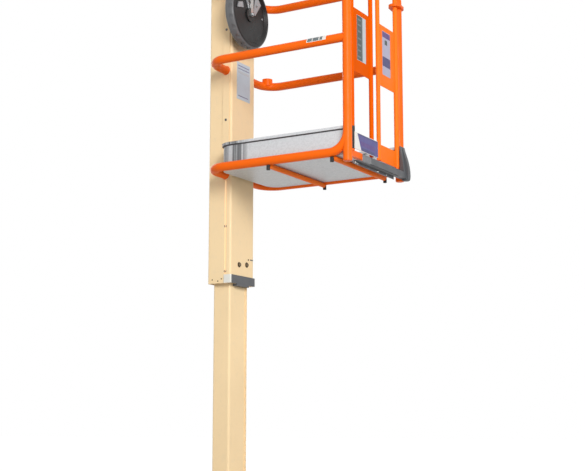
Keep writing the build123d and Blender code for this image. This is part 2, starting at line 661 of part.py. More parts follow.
# Gates, hinged beside the posts and opening inwards
sheet_end = hinge_y - HINGE_TUBE_R / 2
GATE_SHEETS = (  # side, bottom, top
    (-1, PANEL_BOTTOM, PANEL_TOP),
    (1, PANEL_BOTTOM, PANEL_TOP),
    (1, GATE_BOTTOM, KICK_TOP),
)
for name, side in SIDES:
    foot_point = (gate_x, side * FREE_Y, gate_bottom_z)
    with BuildPart() as gate:
        with BuildLine():
            FilletPolyline(
                foot_point,
                (gate_x, side * FREE_Y, PLATFORM_Z + GATE_TOP),
                (gate_x, side * hinge_y, PLATFORM_Z + GATE_TOP),
                radius=GATE_BEND,
            )
        with BuildSketch(Plane(foot_point)):
            Circle(FREE_TUBE_R)
        sweep()
        with BuildSketch(Plane.XY.offset(gate_bottom_z)):
            with Locations((gate_x, side * hinge_y)):
                Circle(HINGE_TUBE_R)
        extrude(amount=TOP_RAIL - GATE_BOTTOM)
        for sheet_side, low, high in GATE_SHEETS:
            if sheet_side == side:
                with BuildSketch(Plane.YZ.offset(gate_x - PANEL_THICK / 2)):
                    with Locations((side * (FREE_Y + sheet_end) / 2, PLATFORM_Z + (low + high) / 2)):
                        Rectangle(sheet_end - FREE_Y, high - low)
                extrude(amount=PANEL_THICK)
        with BuildSketch(Plane.XY.offset(gate_bottom_z)):
            with Locations((gate_x, side * hinge_y)):
                Circle(HINGE_PIN_R + PIN_PLAY)
        extrude(amount=HINGE_PIN_UP, mode=Mode.SUBTRACT)
    save(gate.part, f"{name}_gate")

    with BuildPart() as collar:
        with BuildSketch(Plane.XY.offset(PLATFORM_Z + COLLAR_Z - COLLAR_THICK / 2)):
            for centre in ((post_x, side * side_y), (gate_x, side * hinge_y)):
                with Locations(centre):
                    Circle(COLLAR_R)
            make_hull()
            with Locations((post_x, side * side_y)):
                Circle(TUBE_R + SEAT, mode=Mode.SUBTRACT)
            with Locations((gate_x, side * hinge_y)):
                Circle(HINGE_TUBE_R + SEAT, mode=Mode.SUBTRACT)
        extrude(amount=COLLAR_THICK)
    save(collar.part, f"{name}_hinge_collar")

# Toe board on the near gate's outer face, reaching across the gap between the gates
board_end = FREE_Y - FREE_TUBE_R - BOARD_GAP
with BuildPart() as gate_board:
    with BuildSketch(Plane.YZ.offset(gate_x + HINGE_TUBE_R + SEAT)):
        with Locations(((board_end - hinge_y) / 2, PLATFORM_Z + (GATE_BOTTOM + KICK_TOP) / 2)):
            Rectangle(board_end + hinge_y, KICK_TOP - GATE_BOTTOM)
    extrude(amount=BOARD_THICK)
save(gate_board.part, "near_gate_board")

# Wheels: a tyre with a rounded tread on a rim with a ring, a web and a hub


def wheel_pieces(centre, width, tyre_r, rim_r, hub_r, axle_r, holes):
    """A tyre and its rim, about an axle along Y through the wheel's middle."""
    x, y, z = centre
    axle = Axis((x, y, z), (0, 1, 0))
    with BuildPart() as tyre:
        with BuildSketch(Plane.YZ.offset(x)) as profile:
            with Locations((y, z + (rim_r + tyre_r) / 2)):
                Rectangle(width, tyre_r - rim_r)
            fillet(profile.vertices().group_by(Axis.Y)[-1], TYRE_ROUND)
        revolve(axis=axle)
    with BuildPart() as rim:
        with BuildSketch(Plane.YZ.offset(x)):
            for low, high, thick in (
                (rim_r - RIM_RING, rim_r, width),
                (hub_r, rim_r - RIM_RING, RIM_WEB),
                (axle_r + PIN_PLAY, hub_r, width),
            ):
                with Locations((y, z + (low + high) / 2)):
                    Rectangle(thick, high - low)
        revolve(axis=axle)
        if holes:
            hole_circle = (hub_r + rim_r - RIM_RING) / 2
            with BuildSketch(Plane.XZ.offset(-y - width / 2)):
                with Locations((x, z)):
                    with PolarLocations(hole_circle, holes):
                        Circle((rim_r - RIM_RING - hub_r) / 3)
            extrude(amount=width, mode=Mode.SUBTRACT)
    return tyre.part, rim.part


# Rear wheels on stub axles that stand out from plates on the rails
for name, side in SIDES:
    wheel_y = side * (BASE_WIDTH / 2 - REAR_TYRE_WIDTH / 2)
    tyre, rim = wheel_pieces(
        (rear_axle_x, wheel_y, REAR_TYRE_R),
        REAR_TYRE_WIDTH, REAR_TYRE_R, REAR_RIM_R, REAR_HUB_R, REAR_AXLE_R, RIM_HOLES,
    )
    save(tyre, f"{name}_rear_tyre")
    save(rim, f"{name}_rear_rim")
    rail_face = rail_y + RAIL_WIDTH / 2
    plate_bottom = REAR_TYRE_R - AXLE_COLLAR_R - AXLE_PLATE_EDGE
    with BuildPart() as bracket:
        with BuildSketch(Plane.XZ.offset(-side * rail_face)):
            with BuildLine():
                Polyline(
                    (rear_axle_x - AXLE_PLATE_TOP / 2, RAIL_BOTTOM),
                    (rear_axle_x + AXLE_PLATE_TOP / 2, RAIL_BOTTOM),
                    (rear_axle_x + AXLE_PLATE_FOOT / 2, plate_bottom),
                    (rear_axle_x - AXLE_PLATE_FOOT / 2, plate_bottom),
                    close=True,
                )
            make_face()
        extrude(amount=side * AXLE_PLATE_THICK)
        for radius, length in (
            (AXLE_COLLAR_R, REAR_WHEEL_GAP - SEAT),
            (REAR_AXLE_R, REAR_WHEEL_GAP + REAR_TYRE_WIDTH),
        ):
            with BuildSketch(Plane.XZ.offset(-side * rail_face)):
                with Locations((rear_axle_x, REAR_TYRE_R)):
                    Circle(radius)
            extrude(amount=-side * length)
    save(bracket.part, f"{name}_rear_axle")

# Front castors: bolted top plate, swivelling fork and wheel
crown_top = RAIL_BOTTOM - CASTOR_PLATE_THICK - SEAT
crown_bottom = crown_top - CASTOR_CROWN_THICK
fork_gap = FRONT_TYRE_WIDTH / 2 + RUN
wheel_x = castor_x - CASTOR_TRAIL
for name, side in SIDES:
    castor_y = side * rail_y
    with BuildPart() as top_plate:
        with BuildSketch(Plane.XY.offset(RAIL_BOTTOM)):
            with Locations((castor_x, castor_y)):
                RectangleRounded(CASTOR_PLATE, CASTOR_PLATE, 2 * RAIL_CORNER)
                with GridLocations(CASTOR_PLATE_HOLES, CASTOR_PLATE_HOLES, 2, 2):
                    Circle(CASTOR_PLATE_HOLE_R, mode=Mode.SUBTRACT)
        extrude(amount=-CASTOR_PLATE_THICK)
        with BuildSketch(Plane.XY.offset(RAIL_BOTTOM - CASTOR_PLATE_THICK)):
            with Locations((castor_x, castor_y)):
                Circle(CASTOR_STEM_R)
        extrude(amount=-CASTOR_CROWN_THICK - SEAT)
    save(top_plate.part, f"{name}_castor_plate")
    with BuildPart() as fork:
        with BuildSketch(Plane.XY.offset(crown_bottom)):
            with Locations((castor_x, castor_y)):
                Circle(CASTOR_RACE_R)
            with Locations((castor_x - CASTOR_TRAIL / 2, castor_y)):
                Rectangle(CASTOR_TRAIL, 2 * (fork_gap + FORK_THICK))
            with Locations((castor_x, castor_y)):
                Circle(CASTOR_STEM_R + PIN_PLAY, mode=Mode.SUBTRACT)
        extrude(amount=CASTOR_CROWN_THICK)
        for leg in (-1, 1):
            with BuildSketch(Plane.XZ.offset(-castor_y - leg * fork_gap)):
                with BuildLine():
                    Polyline(
                        (castor_x + CASTOR_RACE_R / 2, crown_top),
                        (castor_x - CASTOR_TRAIL, crown_top),
                        (wheel_x - FORK_NOSE_R, FRONT_TYRE_R),
                        (wheel_x + FORK_NOSE_R, FRONT_TYRE_R),
                        close=True,
                    )
                make_face()
                with Locations((wheel_x, FRONT_TYRE_R)):
                    Circle(FORK_NOSE_R)
            extrude(amount=-leg * FORK_THICK)
        with BuildSketch(Plane.XZ.offset(-castor_y - fork_gap - FORK_THICK)):
            with Locations((wheel_x, FRONT_TYRE_R)):
                Circle(FRONT_AXLE_R)
        extrude(amount=2 * (fork_gap + FORK_THICK))
        for leg in (-1, 1):
            with BuildSketch(Plane.XZ.offset(-castor_y - leg * fork_gap)):
                with Locations((wheel_x, FRONT_TYRE_R)):
                    Circle(FRONT_HUB_R - 4)
            extrude(amount=leg * (RUN - SEAT))
    save(fork.part, f"{name}_castor_fork")
    tyre, rim = wheel_pieces(
        (wheel_x, castor_y, FRONT_TYRE_R),
        FRONT_TYRE_WIDTH, FRONT_TYRE_R, FRONT_RIM_R, FRONT_HUB_R, FRONT_AXLE_R, 0,
    )
    save(tyre, f"{name}_castor_tyre")
    save(rim, f"{name}_castor_rim")
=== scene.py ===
"""Looks of a vertical mast lift for one person: materials, small fittings, floor, light and camera."""

import json
from math import cos, pi, radians, sin

import bmesh
import bpy
from mathutils import Matrix, Vector


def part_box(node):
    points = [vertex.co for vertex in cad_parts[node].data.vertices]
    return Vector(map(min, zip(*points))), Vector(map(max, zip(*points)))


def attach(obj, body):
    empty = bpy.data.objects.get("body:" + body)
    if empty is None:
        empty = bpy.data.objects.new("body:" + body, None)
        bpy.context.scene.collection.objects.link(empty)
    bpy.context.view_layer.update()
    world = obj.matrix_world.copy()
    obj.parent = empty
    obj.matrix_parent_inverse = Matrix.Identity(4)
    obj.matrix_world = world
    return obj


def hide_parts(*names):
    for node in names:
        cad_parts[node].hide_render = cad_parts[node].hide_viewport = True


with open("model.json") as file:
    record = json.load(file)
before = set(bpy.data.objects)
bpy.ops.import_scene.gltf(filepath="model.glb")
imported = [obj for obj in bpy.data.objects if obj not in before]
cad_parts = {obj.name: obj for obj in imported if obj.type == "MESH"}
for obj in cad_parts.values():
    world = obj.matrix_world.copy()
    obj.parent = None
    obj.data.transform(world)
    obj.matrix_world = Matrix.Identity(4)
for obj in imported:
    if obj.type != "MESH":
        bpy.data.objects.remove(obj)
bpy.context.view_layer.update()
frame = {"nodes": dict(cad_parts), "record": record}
scene = bpy.context.scene
nodes = frame["nodes"]
SIDES = (("near", -1), ("far", 1))
BOTH = (-1, 1)
FORWARD, UP, DOWN = (1, 0, 0), (0, 0, 1), (0, 0, -1)


def middle(box):
    """The centre of a box."""
    return tuple((low + high) / 2 for low, high in zip(*box))


# Sizes and places from the frame's boxes, and those that no box gives, in metres
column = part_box("outer_column")
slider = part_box("far_slider")
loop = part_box("near_side_loop")
gate_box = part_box("near_gate")
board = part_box("near_gate_board")
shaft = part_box("wheel_shaft")
castor_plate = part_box("far_castor_plate")
TUBE_R = 0.024
HINGE_R = 0.0135
FLOOR_TUBE_Z, MID_RAIL_Z = 2.18, 2.791
RAIL_BOTTOM, RAIL_TOP, RAIL_HALF = 0.165, 0.225, 0.025
PANEL_HALF = 0.0015
SLOT_SCREW_Z = (1.632, 1.887)
FILM = 0.0005
front, side_face = column[1].x, column[1].y
slot_x = middle(slider)[0]
slider_face = slider[1].y
side_y = -loop[0].y - TUBE_R
post_x = loop[1].x - TUBE_R
gate_x = gate_box[1].x - HINGE_R
hinge_y = -gate_box[0].y - HINGE_R
panel_face = gate_x + PANEL_HALF
_, wheel_y, wheel_z = middle(shaft)
plate_x, rail_y, _ = middle(castor_plate)


# Materials
def linear(rgb):
    """sRGB numbers from 0 to 1 as the linear colour that the shader takes."""
    return tuple(c / 12.92 if c <= 0.04045 else ((c + 0.055) / 1.055) ** 2.4 for c in rgb) + (1.0,)


def shade(rgb, k):
    """A colour made darker, or brighter, by a factor."""
    return tuple(min(1.0, c * k) for c in rgb)


def add_node(tree, kind, **values):
    """A new shader node with some of its values set."""
    node = tree.nodes.new(kind)
    for key, value in values.items():
        setattr(node, key, value)
    return node


class Surface:
    """A node material that starts with a Principled shader and grows by named layers."""

    def __init__(self, name, rgb, rough, metal=0.0):
        self.mat = bpy.data.materials.new(name)
        self.mat.use_nodes = True
        self.tree = self.mat.node_tree
        self.bsdf = self.tree.nodes["Principled BSDF"]
        self.rgb = rgb
        self.bsdf.inputs["Base Color"].default_value = linear(rgb)
        self.bsdf.inputs["Roughness"].default_value = rough
        self.bsdf.inputs["Metallic"].default_value = metal
        self.coords = self.add("ShaderNodeTexCoord")
        self.colour = None
        self.normal = None

    def add(self, kind, **values):
        return add_node(self.tree, kind, **values)

    def link(self, a, b):
        self.tree.links.new(a, b)

    def noise(self, scale, detail=3.0, rough=0.55, stretch=None):
        """A noise field in the object's own metres."""
        node = self.add("ShaderNodeTexNoise")
        node.inputs["Scale"].default_value = scale
        node.inputs["Detail"].default_value = detail
        node.inputs["Roughness"].default_value = rough
        if stretch:
            mapping = self.add("ShaderNodeMapping")
            mapping.inputs["Scale"].default_value = stretch
            self.link(self.coords.outputs["Object"], mapping.inputs["Vector"])
            self.link(mapping.outputs["Vector"], node.inputs["Vector"])
        else:
            self.link(self.coords.outputs["Object"], node.inputs["Vector"])
        return node.outputs["Fac"]

    def ramp(self, value, low, high, out_low=0.0, out_high=1.0):
        """A smooth step from out_low, where the value is low, to out_high, where it is high."""
        node = self.add("ShaderNodeMapRange", interpolation_type="SMOOTHSTEP")
        node.inputs["From Min"].default_value = low
        node.inputs["From Max"].default_value = high
        node.inputs["To Min"].default_value = out_low
        node.inputs["To Max"].default_value = out_high
        self.link(value, node.inputs["Value"])
        return node.outputs["Result"]

    def tint(self, mask, rgb):
        """Mixes another colour in by a mask."""
        node = self.add("ShaderNodeMix", data_type="RGBA")
        if self.colour is None:
            node.inputs[6].default_value = linear(self.rgb)
        else:
            self.link(self.colour, node.inputs[6])
        node.inputs[7].default_value = linear(rgb)
        self.link(mask, node.inputs[0])
        self.colour = node.outputs[2]
        self.link(self.colour, self.bsdf.inputs["Base Color"])

    def roughen(self, mask):
        self.link(mask, self.bsdf.inputs["Roughness"])

    def bump(self, height, strength, distance):
        node = self.add("ShaderNodeBump")
        node.inputs["Strength"].default_value = strength
        node.inputs["Distance"].default_value = distance
        self.link(height, node.inputs["Height"])
        if self.normal is not None:
            self.link(self.normal, node.inputs["Normal"])
        self.normal = node.outputs["Normal"]
        self.link(self.normal, self.bsdf.inputs["Normal"])

    def times(self, *masks):
        """The product of masks."""
        product = masks[0]
        for mask in masks[1:]:
            node = self.add("ShaderNodeMath", operation="MULTIPLY")
            self.link(product, node.inputs[0])
            self.link(mask, node.inputs[1])
            product = node.outputs[0]
        return product

    def vector(self, operation, source, second=None):
        """A vector operation on a source, and on a fixed second vector where it takes one."""
        node = self.add("ShaderNodeVectorMath", operation=operation)
        self.link(source, node.inputs[0])
        if second is not None:
            node.inputs[1].default_value = second
        return node

    def place(self, source=None):
        """X, Y and Z of a source, or else of the place in the object's own metres."""
        node = self.add("ShaderNodeSeparateXYZ")
        self.link(self.coords.outputs["Object"] if source is None else source, node.inputs[0])
        return tuple(node.outputs)

    def reach(self, centre, across):
        """Distance from an axis through a centre; across is 0 along the axis and 1 across it."""
        offset = self.vector("SUBTRACT", self.coords.outputs["Object"], centre)
        flat = self.vector("MULTIPLY", offset.outputs[0], across)
        return self.vector("LENGTH", flat.outputs[0]).outputs["Value"]

    def edges(self):
        """A mask that is 1 on convex edges."""
        geometry = self.add("ShaderNodeNewGeometry")
        return self.ramp(geometry.outputs["Pointiness"], 0.53, 0.6)


def painted(name, rgb, rough=0.34, worn=(0.75, 0.72, 0.68), wear=0.25, gloss=0.5):
    """Powder coat: a fine orange peel, slightly cloudy, with thin paint on its edges."""
    s = Surface(name, rgb, rough)
    s.bsdf.inputs["Specular IOR Level"].default_value = gloss
    s.tint(s.ramp(s.noise(2.2, 4), 0.35, 0.75, 0.0, 0.45), shade(rgb, 0.95))
    s.tint(s.ramp(s.noise(60, 6, 0.7), 0.62, 0.8, 0.0, 0.2), shade(rgb, 0.85))
    s.tint(s.times(s.edges(), s.ramp(s.noise(38, 5), 0.5, 0.72, 0.0, wear)), worn)
    s.roughen(s.ramp(s.noise(9, 4), 0.3, 0.8, rough - 0.05, rough + 0.12))
    s.bump(s.noise(420, 2), 0.12, 0.0006)
    return s


def zinc(name, rgb, rough, scale, metal):
    """Galvanised sheet: spangles of slightly different grey and gloss."""
    s = Surface(name, rgb, rough, metal)
    cells = s.add("ShaderNodeTexVoronoi")
    cells.inputs["Scale"].default_value = scale
    s.link(s.coords.outputs["Object"], cells.inputs["Vector"])
    split = s.add("ShaderNodeSeparateColor")
    s.link(cells.outputs["Color"], split.inputs[0])
    s.tint(s.ramp(split.outputs[0], 0.0, 1.0, 0.0, 0.4), shade(rgb, 0.88))
    s.tint(s.ramp(s.noise(5, 3), 0.45, 0.8, 0.0, 0.3), shade(rgb, 0.95))
    s.roughen(s.ramp(split.outputs[1], 0.0, 1.0, rough - 0.08, rough + 0.14))
    s.bump(s.noise(500, 2), 0.06, 0.0004)
    return s


def moulded(name, rgb, rough, grain=900.0):
    """Moulded plastic or rubber with a fine grain and dull patches."""
    s = Surface(name, rgb, rough)
    s.tint(s.ramp(s.noise(5, 4), 0.4, 0.8, 0.0, 0.5), shade(rgb, 1.25))
    s.tint(s.ramp(s.noise(120, 4), 0.6, 0.85, 0.0, 0.3), shade(rgb, 0.7))
    s.tint(s.ramp(s.edges(), 0.0, 1.0, 0.0, 0.25), shade(rgb, 1.6))
    s.roughen(s.ramp(s.noise(14, 4), 0.3, 0.8, rough - 0.08, rough + 0.14))
    s.bump(s.noise(grain, 2), 0.25, 0.0004)
    return s


def steel(name, rgb, rough=0.28):
    """Plated steel with dull patches and fine marks."""
    s = Surface(name, rgb, rough, 1.0)
    s.tint(s.ramp(s.noise(12, 5), 0.45, 0.8, 0.0, 0.5), shade(rgb, 0.8))
    s.roughen(s.ramp(s.noise(40, 4, 0.6), 0.3, 0.8, rough - 0.04, rough + 0.12))
    s.bump(s.noise(300, 3), 0.05, 0.0003)
    return s


CREAM, CREAM_RUBBED = (0.965, 0.855, 0.675), (0.86, 0.79, 0.66)
ORANGE, ORANGE_RUBBED = (0.965, 0.405, 0.02), (0.8, 0.42, 0.2)
surfaces = {
    "mast_paint": painted("mast_paint", CREAM, 0.45, CREAM_RUBBED, wear=0.15, gloss=0.3),
    "cage_paint": painted("cage_paint", ORANGE, 0.4, ORANGE_RUBBED, wear=0.3, gloss=0.16),
    "board": painted("board", (0.86, 0.87, 0.87), 0.4),
    "galvanised": zinc("galvanised", (0.8, 0.81, 0.82), 0.42, scale=130.0, metal=0.2),
    "bright_steel": steel("bright_steel", (0.74, 0.74, 0.73)),
    "dark_plastic": moulded("dark_plastic", (0.24, 0.245, 0.255), 0.45),
    "grey_metal": painted("grey_metal", (0.36, 0.36, 0.37), 0.42, worn=(0.6, 0.6, 0.6)),
    "pad_plastic": moulded("pad_plastic", (0.82, 0.81, 0.76), 0.5),
    "rubber": moulded("rubber", (0.1, 0.1, 0.1), 0.7),
    "tyre": moulded("tyre", (0.16, 0.16, 0.165), 0.75, grain=500.0),
    "rim": moulded("rim", (0.72, 0.72, 0.71), 0.42),
}


def add_tray_painted_reflections(s):
    """Painted reflections as dark bands on the tray's rounded end, and a painted shadow as a dark line in
    the crease under its lip.
    """
    reflection_bands_x, reflection_bands_fade = -0.14, -0.06
    floor_z, wall_z = 2.178, 2.19
    shadow_line_low, shadow_line_high = 2.2985, 2.3065
    x, _, z = s.place()
    # Painted reflection: streaky dark bands on the wall of the rounded end, fading out along x
    reflection_streaks = s.noise(1.0, 3, 0.8, (100, 100, 0.6))
    wall = s.times(s.ramp(x, reflection_bands_x, reflection_bands_fade, 1.0, 0.0), s.ramp(z, floor_z, wall_z))
    s.tint(s.times(wall, s.ramp(reflection_streaks, 0.42, 0.58, 0.15, 0.85)), (0.24, 0.25, 0.26))
    # Painted shadow: a thin dark line under the lip
    above = s.ramp(z, shadow_line_low, shadow_line_low + 0.0025)
    below = s.ramp(z, shadow_line_high, shadow_line_high - 0.001)
    s.tint(s.times(above, below), (0.3, 0.3, 0.31))


def add_tyre_grooves(s):
    """Grooves round a tyre, as a wave across its width."""
    groove_pitch = 0.0075
    _, across, _ = s.place()
    turns = s.add("ShaderNodeMath", operation="MULTIPLY")
    turns.inputs[1].default_value = 2 * pi / groove_pitch
    s.link(across, turns.inputs[0])
    wave = s.add("ShaderNodeMath", operation="SINE")
    s.link(turns.outputs[0], wave.inputs[0])
    s.bump(s.ramp(wave.outputs[0], -0.95, -0.55), 0.6, 0.002)


def column_finish():
    """Cream paint with dark screw rims on the slots. Inside the slots it has a little light of its own,
    because the photo shows no dark line there."""
    rim, soft = 0.0088, 0.0006
    slot_floor, slot_half, fade, skin, glow = 0.104, 0.0135, 0.0005, 0.00015, 0.25
    s = painted("column_paint", CREAM, 0.45, CREAM_RUBBED, wear=0.15, gloss=0.3)
    clear_of_screws = []
    for height in SLOT_SCREW_Z:
        reach = s.reach((slot_x, 0.0, height), (1.0, 0.0, 1.0))
        s.tint(s.ramp(reach, rim, rim - soft), (0.36, 0.35, 0.34))
        clear_of_screws.append(s.ramp(reach, rim, rim + soft))
    x, y, _ = s.place(s.vector("ABSOLUTE", s.coords.outputs["Object"]).outputs[0])
    # Painted light: the slots' insides glow a little to lift the shade in them, except on the screws
    slot_painted_glow = s.times(
        s.ramp(x, -slot_x - slot_half, -slot_x - slot_half + fade),
        s.ramp(x, -slot_x + slot_half, -slot_x + slot_half - fade),
        s.ramp(y, slot_floor, slot_floor + fade),
        s.ramp(y, side_face - skin, side_face - 2 * skin, 0.0, glow),
    )
    s.bsdf.inputs["Emission Color"].default_value = linear((0.96, 0.92, 0.84))
    s.link(s.times(slot_painted_glow, *clear_of_screws), s.bsdf.inputs["Emission Strength"])
    return s


def wheel_finish():
    """The hand wheel's dark face inside a greyer grip."""
    grip_start, grip_full = 0.183, 0.191
    s = moulded("wheel_plastic", (0.135, 0.135, 0.135), 0.34, grain=700.0)
    s.bsdf.inputs["Specular IOR Level"].default_value = 0.22
    reach = s.reach((0.0, wheel_y, wheel_z), (0.0, 1.0, 1.0))
    s.tint(s.ramp(reach, grip_start, grip_full), (0.4, 0.405, 0.41))
    return s


def sticker(name, rgb):
    """Printed film: almost even, with a faint grain and slight fading."""
    s = Surface(name, rgb, 0.42)
    s.tint(s.ramp(s.noise(14, 4), 0.4, 0.75, 0.0, 0.4), shade(rgb, 0.93))
    s.roughen(s.ramp(s.noise(40, 3), 0.3, 0.8, 0.36, 0.52))
    s.bump(s.noise(700, 2), 0.05, 0.0003)
    return s


# Painted reflections and a painted shadow on the galvanised tray
add_tray_painted_reflections(surfaces["galvanised"])
add_tyre_grooves(surfaces["tyre"])
bar_plastic = moulded("bar_plastic", (0.27, 0.275, 0.285), 0.5)
dark_steel = steel("dark_steel", (0.42, 0.41, 0.4), 0.4)
bronzed = steel("bronzed", (0.42, 0.37, 0.3), 0.42)
plated = steel("plated", (0.66, 0.67, 0.68), 0.42)
# Lit and shaded copies of the orange: the near gate is painted darker than the cage as painted shade, and
# the far gate and the tray's bars paler as painted light, as they show in the photo
shaded_orange_paint = painted("shaded_gate_orange", (0.88, 0.345, 0.0), 0.5, ORANGE_RUBBED, wear=0.04, gloss=0.02)
lit_orange_paint = painted("lit_orange_paint", (1.0, 0.47, 0.1), 0.45, (0.85, 0.5, 0.3), wear=0.2, gloss=0.1)
film = {
    "grey": sticker("film_grey", (0.74, 0.79, 0.83)),
    "dark": sticker("film_dark", (0.24, 0.29, 0.28)),
    "pale": sticker("film_pale", (0.72, 0.74, 0.76)),
    "lavender": sticker("film_lavender", (0.66, 0.65, 0.73)),
    "violet": sticker("film_violet", (0.34, 0.25, 0.48)),
    "plum": sticker("film_plum", (0.31, 0.29, 0.52)),
    "blue": sticker("film_blue", (0.24, 0.24, 0.42)),
    "mid": sticker("film_mid", (0.4, 0.44, 0.45)),
    "haze": sticker("film_haze", (0.5, 0.48, 0.66)),
    "white": sticker("film_white", (0.88, 0.87, 0.85)),
}

# Each CAD node takes its slot's surface, or a finish of its own
own_finish = {
    "hand_wheel": wheel_finish(),
    "sill_bar": bar_plastic,
    "guide_block": bar_plastic,
    # Painted shade on the near gate; painted light on the far gate and the tray's bars
    "near_gate": shaded_orange_paint,
    "far_gate": lit_orange_paint,
    "cross_bar": lit_orange_paint,
    "front_bar": lit_orange_paint,
    "outer_column": column_finish(),
}
node_slots = {s["node"]: s["material_slot"] for s in frame["record"]["subparts"]}
for name, node in nodes.items():
    node.data.materials.clear()
    node.data.materials.append(own_finish.get(name, surfaces[node_slots[name]]).mat)


# Helpers for small fittings
def mesh_object(name, bm, body, slot, smooth=True, finish=None):
    """Turns a bmesh in the model's frame into a piece that rides on a body."""
    mesh = bpy.data.meshes.new(name)
    bm.normal_update()
    bm.to_mesh(mesh)
    bm.free()
    obj = bpy.data.objects.new(name, mesh)
    scene.collection.objects.link(obj)
    mesh.materials.append((finish or surfaces[slot]).mat)
    if smooth:
        mesh.polygons.foreach_set("use_smooth", [True] * len(mesh.polygons))
        mesh.set_sharp_from_angle(angle=radians(35))
    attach(obj, body)
    return obj


def circle(steps):
    """The angles of even steps round a full turn."""
    return [2 * pi * i / steps for i in range(steps)]


def turn_to(direction):
    """The rotation that brings +Z to a direction."""
    return Vector(UP).rotation_difference(Vector(direction)).to_matrix().to_4x4()


def lathe(bm, profile, at, direction, steps=24):
    """Turns a profile of (radius, height) pairs about an axis from a point."""
    place = Matrix.Translation(Vector(at)) @ turn_to(direction)
    rings = []
    for radius, height in profile:
        if radius < 1e-6:
            rings.append([bm.verts.new(place @ Vector((0, 0, height)))])
            continue
        ring = [Vector((radius * cos(a), radius * sin(a), height)) for a in circle(steps)]
        rings.append([bm.verts.new(place @ point) for point in ring])
    for low, high in zip(rings, rings[1:]):
        for i in range(steps):
            j = (i + 1) % steps
            if len(low) == 1:
                bm.faces.new((low[0], high[j], high[i])[::-1])
            elif len(high) == 1:
                bm.faces.new((low[i], low[j], high[0]))
            else:
                bm.faces.new((low[i], low[j], high[j], high[i]))


def prism(bm, corners, thickness, rounding=0.0):
    """A flat plate from its corners, in order, raised along its own normal."""
    face = bm.faces.new([bm.verts.new(c) for c in corners])
    face.normal_update()
    normal = face.normal.copy()
    raised = bmesh.ops.extrude_face_region(bm, geom=[face])
    top = [v for v in raised["geom"] if isinstance(v, bmesh.types.BMVert)]
    bmesh.ops.translate(bm, verts=top, vec=normal * thickness)
    if rounding:
        edges = {e for v in top for e in v.link_edges if e.calc_length() > rounding * 2}
        bmesh.ops.bevel(bm, geom=list(edges), offset=rounding, segments=2, affect="EDGES")


def rounded(a0, a1, b0, b1, corner, steps=4):
    """The outline of a rectangle with rounded corners as pairs, from the corner at a1 and b1."""
    outline = []
    for a, b, start in (
        (a1 - corner, b1 - corner, 0.0),
        (a0 + corner, b1 - corner, 0.5 * pi),
        (a0 + corner, b0 + corner, pi),
        (a1 - corner, b0 + corner, 1.5 * pi),
    ):
        for k in range(steps + 1):
            angle = start + k * 0.5 * pi / steps
            outline.append((a + corner * cos(angle), b + corner * sin(angle)))
    return outline


def hexagon_head(bm, at, direction, across, height):
    """A hexagon bolt head with a chamfered crown, on a washer; across is its width over the flats."""
    r = across / 2 / cos(pi / 6)
    lathe(bm, [(r * 1.25, 0), (r * 1.25, height * 0.2), (r * 1.0, height * 0.24)], at, direction, 24)
    base = Vector(at) + Vector(direction).normalized() * height * 0.2
    lathe(bm, [(r, 0), (r, height * 0.75), (r * 0.82, height), (0, height)], base, direction, 6)


def button_head(bm, at, direction, r, height):
    """A round screw head with a socket."""
    socket = r * 0.45
    profile = [(r, 0), (r, height * 0.35), (r * 0.8, height * 0.85), (socket, height)]
    lathe(bm, profile + [(socket, height * 0.4), (0, height * 0.4)], at, direction, 20)


def plate(bm, x, y0, y1, z0, z1, thick=FILM, corner=0.003):
    """A thin blank sheet on a face that looks along +X."""
    prism(bm, [(x, y, z) for y, z in rounded(y0, y1, z0, z1, corner)], thick)


def slab(bm, x, outline, thick, rounding=0.0):
    """A flat piece with an outline of (y, z) corners, raised along +X."""
    area = sum(a[0] * b[1] - b[0] * a[1] for a, b in zip(outline, outline[1:] + outline[:1]))
    corners = [(x, y, z) for y, z in (outline if area > 0 else outline[::-1])]
    prism(bm, corners, thick, rounding)


def shell_arc(bm, ring, low, high, start, end, inner, outer, steps=28):
    """Part of a thin sleeve between two angles in degrees. Its ring function takes an angle in radians, a
    radius and a height, and gives a point."""
    rows = []
    for k in range(steps + 1):
        a = radians(start) + (radians(end) - radians(start)) * k / steps
        corners = ((inner, low), (outer, low), (outer, high), (inner, high))
        rows.append([bm.verts.new(ring(a, r, h)) for r, h in corners])
    for first, second in zip(rows, rows[1:]):
        for i in range(4):
            j = (i + 1) % 4
            bm.faces.new((first[i], first[j], second[j], second[i]))
    bm.faces.new(rows[0][::-1])
    bm.faces.new(rows[-1])
    bmesh.ops.recalc_face_normals(bm, faces=bm.faces[:])


def bead(bm, points, radius):
    """A weld bead with its ripples, along a closed line of points."""
    centre = sum((Vector(p) for p in points), Vector()) / len(points)
    count = len(points)
    rings = []
    for i, p in enumerate(points):
        along = (Vector(points[(i + 1) % count]) - Vector(points[i - 1])).normalized()
        out = Vector(p) - centre
        out = (out - along * out.dot(along)).normalized()
        up = along.cross(out)
        r = radius * (1.0 + 0.14 * sin(i * 1.7) + 0.06 * sin(i * 0.43))
        rings.append([bm.verts.new(Vector(p) + r * (cos(a) * out + sin(a) * up)) for a in circle(8)])
    for i in range(count):
        low, high = rings[i], rings[(i + 1) % count]
        for k in range(8):
            j = (k + 1) % 8
            bm.faces.new((low[k], low[j], high[j], high[k]))


# Screws on the sliders' plates
SLIDER_SCREW_Z = (2.5, 3.035)
bm = bmesh.new()
for z in SLIDER_SCREW_Z:
    for side in BOTH:
        button_head(bm, (slot_x, side * slider_face, z), (0, side, 0), r=0.0075, height=0.003)
mesh_object("slider_screws", bm, "cage", "bright_steel", finish=dark_steel)

